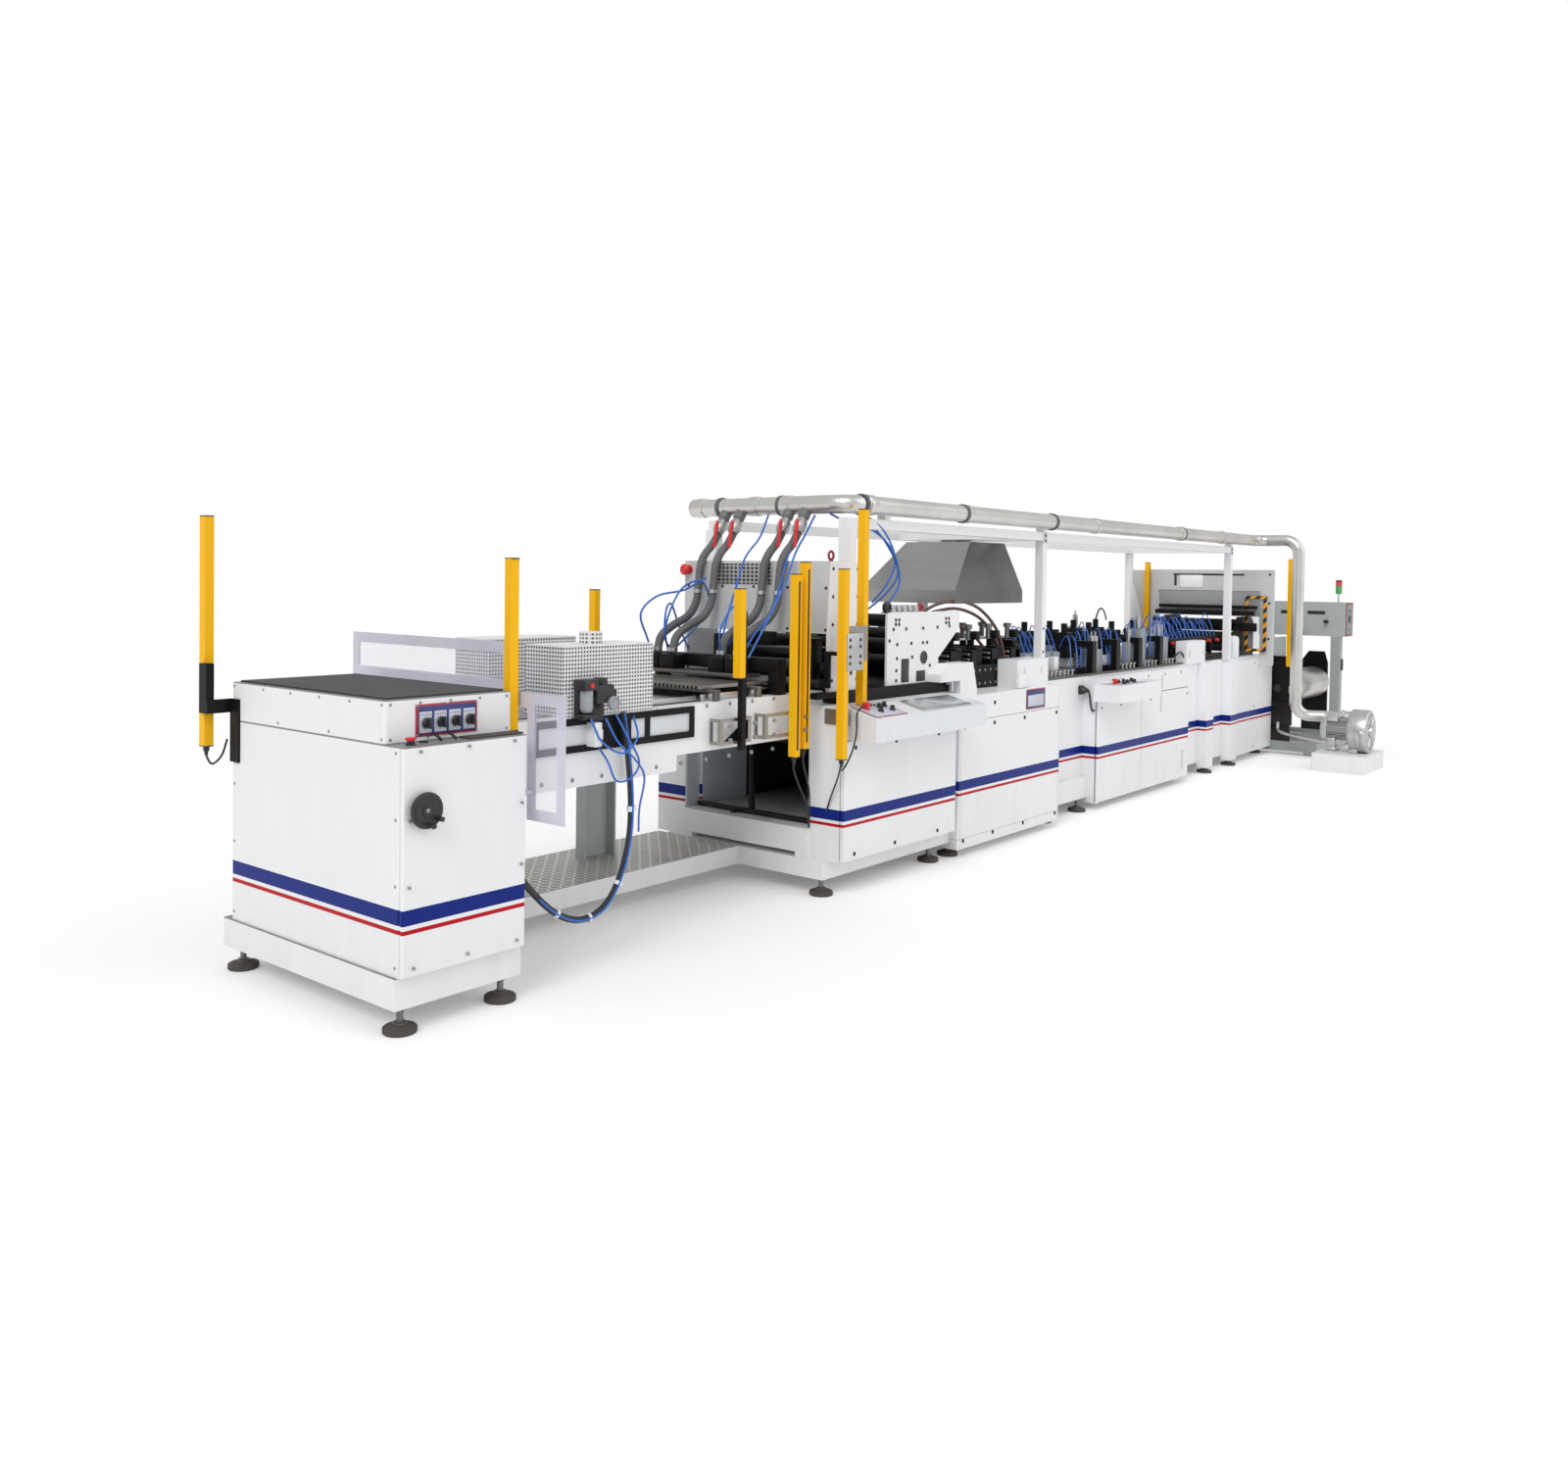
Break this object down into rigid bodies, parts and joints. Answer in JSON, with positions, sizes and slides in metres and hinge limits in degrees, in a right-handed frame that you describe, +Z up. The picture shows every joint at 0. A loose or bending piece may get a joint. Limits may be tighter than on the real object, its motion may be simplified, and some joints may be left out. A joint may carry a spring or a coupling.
{
  "type": "pouch making machine",
  "caption": "Pouch making line on levelling feet: stacker, delivery conveyor, console head, sealing press under a hood, punches, web guide, unwinder and suction blower.",
  "frame": {"origin": "on the floor under the middle of the bounding box", "axes": "+X along the line from the delivery end to the unwind end, +Y from the operator side to the far side, +Z up"},
  "size_m": [10.2334, 1.991, 1.871],
  "materials": {
    "white_paint": "satin",
    "grey_paint": "satin",
    "black_paint": "satin",
    "yellow_paint": "satin",
    "steel": "brushed",
    "cast_grey": "matte",
    "black_rubber": "matte",
    "clear_sheet": "clear",
    "black_plastic": "matte",
    "film_roll": "gloss"
  },
  "bodies": {
    "line": {"air_unit": "black_paint", "blower": "cast_grey", "blower_plinth": "white_paint", "cable_loop": "black_rubber", "console_cabinet": "white_paint", "console_desk": "white_paint", "cross_box": "grey_paint", "delivery_beams": "white_paint", "delivery_bed": "steel", "delivery_belt": "black_rubber", "delivery_column": "grey_paint", "delivery_curtain": "yellow_paint", "drive_cabinet": "white_paint", "drive_housings": "white_paint", "far_cabinets": "white_paint", "feed_feet": "steel", "fume_hood": "steel", "guard_boxes": "white_paint", "guard_plate": "clear_sheet", "head_base": "white_paint", "head_bed_block": "black_paint", "head_curtains": "yellow_paint", "head_feet": "steel", "head_portal": "white_paint", "head_rails": "black_paint", "head_rollers": "steel", "holed_plates": "white_paint", "infeed_covers": "white_paint", "infeed_curtains": "yellow_paint", "line_frame": "white_paint", "overhead_frame": "white_paint", "press_units": "black_paint", "punch_units": "grey_paint", "rear_curtain": "yellow_paint", "seal_cabinet": "white_paint", "stacker_base": "white_paint", "stacker_cabinet": "white_paint", "stacker_controls": "black_plastic", "stacker_cover": "white_paint", "stacker_curtain": "yellow_paint", "stacker_feet": "steel", "stacker_head": "white_paint", "stacker_mat": "black_rubber", "suction_pipe": "steel", "table_boxes": "white_paint", "tower_lamp": "black_plastic", "unwind_arms": "black_paint", "unwind_stand": "white_paint", "vacuum_head": "black_paint", "walkway": "white_paint", "web_guide": "black_paint", "web_portal": "white_paint", "window_frames": "black_paint"},
    "wheel": {"handwheel": "black_plastic"},
    "console_leaf": {"console_door": "white_paint"},
    "left_leaf": {"seal_door_left": "white_paint"},
    "right_leaf": {"seal_door_right": "white_paint"},
    "web_roll": {"unwind_roll": "film_roll"},
    "flap": {"hazard_flap": "clear_sheet"}
  },
  "joints": [
    {"name": "handwheel_turn", "type": "hinge", "parent": "line", "child": "wheel", "pos_m": [-4.94865, -0.1678, 0.72], "axis": [0, -1, 0], "continuous": true},
    {"name": "console_door_swing", "type": "hinge", "parent": "line", "child": "console_leaf", "pos_m": [-1.69865, -0.1805, 0.4475], "axis": [0, 0, 1], "range_deg": [0, 110]},
    {"name": "seal_door_left_swing", "type": "hinge", "parent": "line", "child": "left_leaf", "pos_m": [0.24335, -0.0895, 0.375], "axis": [0, 0, -1], "range_deg": [0, 110]},
    {"name": "seal_door_right_swing", "type": "hinge", "parent": "line", "child": "right_leaf", "pos_m": [1.79435, -0.0895, 0.375], "axis": [0, 0, 1], "range_deg": [0, 110]},
    {"name": "unwind_roll_turn", "type": "hinge", "parent": "line", "child": "web_roll", "pos_m": [3.94195, -0.0765, 0.56], "axis": [1, 0, 0], "continuous": true},
    {"name": "hazard_flap_swing", "type": "hinge", "parent": "line", "child": "flap", "pos_m": [3.50735, -0.0995, 1.125], "axis": [0, 0, 1], "range_deg": [0, 170]}
  ]
}
